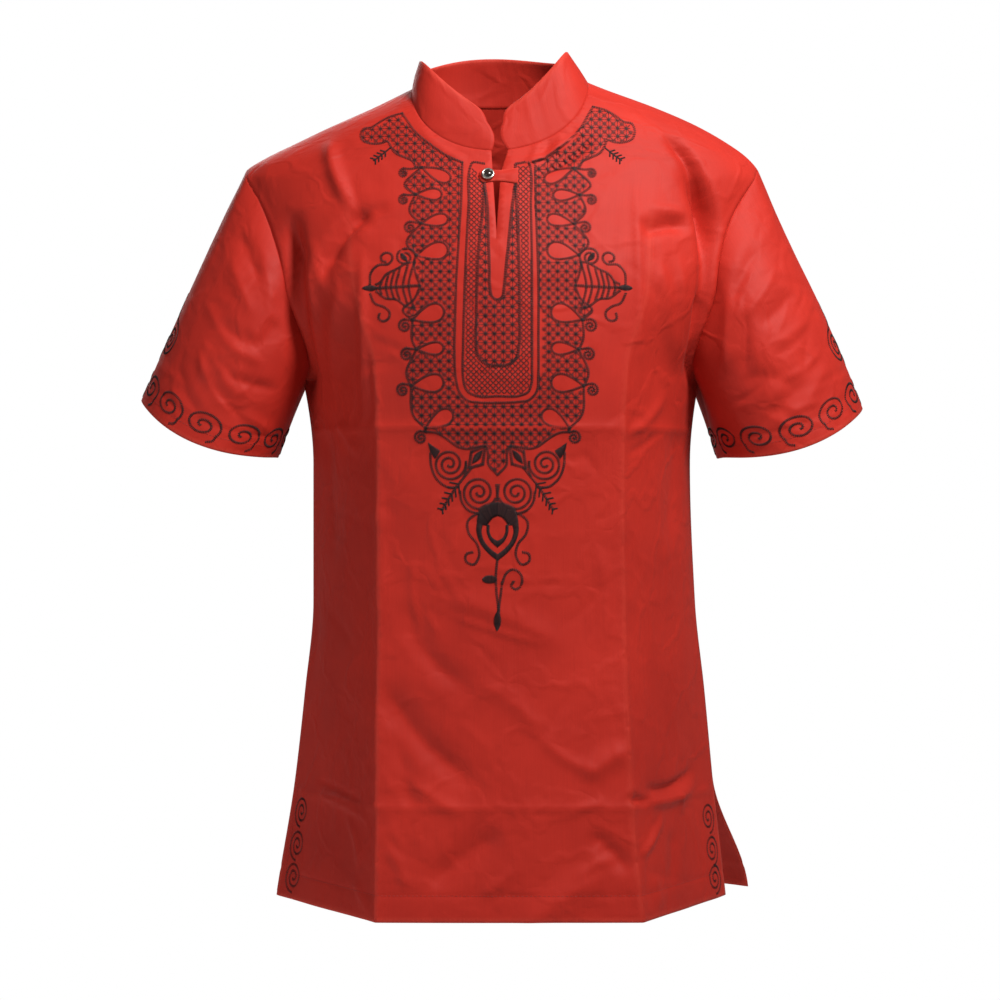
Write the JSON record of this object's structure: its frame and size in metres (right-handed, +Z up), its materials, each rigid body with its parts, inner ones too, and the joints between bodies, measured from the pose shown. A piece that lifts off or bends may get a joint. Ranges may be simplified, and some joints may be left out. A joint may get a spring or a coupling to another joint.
{
  "type": "dashiki shirt",
  "caption": "Short-sleeved dashiki shirt, worn and filled out, with a stand collar, neck slit with button tab, and side vents.",
  "frame": {"origin": "midway between the two neck points, level with them, where the wearer's shoulders hold the shirt", "axes": "+Z up, the front faces -Y, the wearer's left is +X"},
  "size_m": [0.6465, 0.3019, 0.7595],
  "materials": {
    "red_cotton": "polished plain-weave cotton, soft sheen",
    "dark_thread": "dark brown embroidery thread",
    "button_metal": "satin metal rim",
    "button_dark": "glossy dark centre"
  },
  "bodies": {
    "root": {"front": "red_cotton", "back": "red_cotton", "sleeve_right": "red_cotton", "sleeve_left": "red_cotton", "stand_collar": "red_cotton", "button_tab": "red_cotton", "button_rim": "button_metal", "button_dome": "button_dark"}
  },
  "joints": []
}
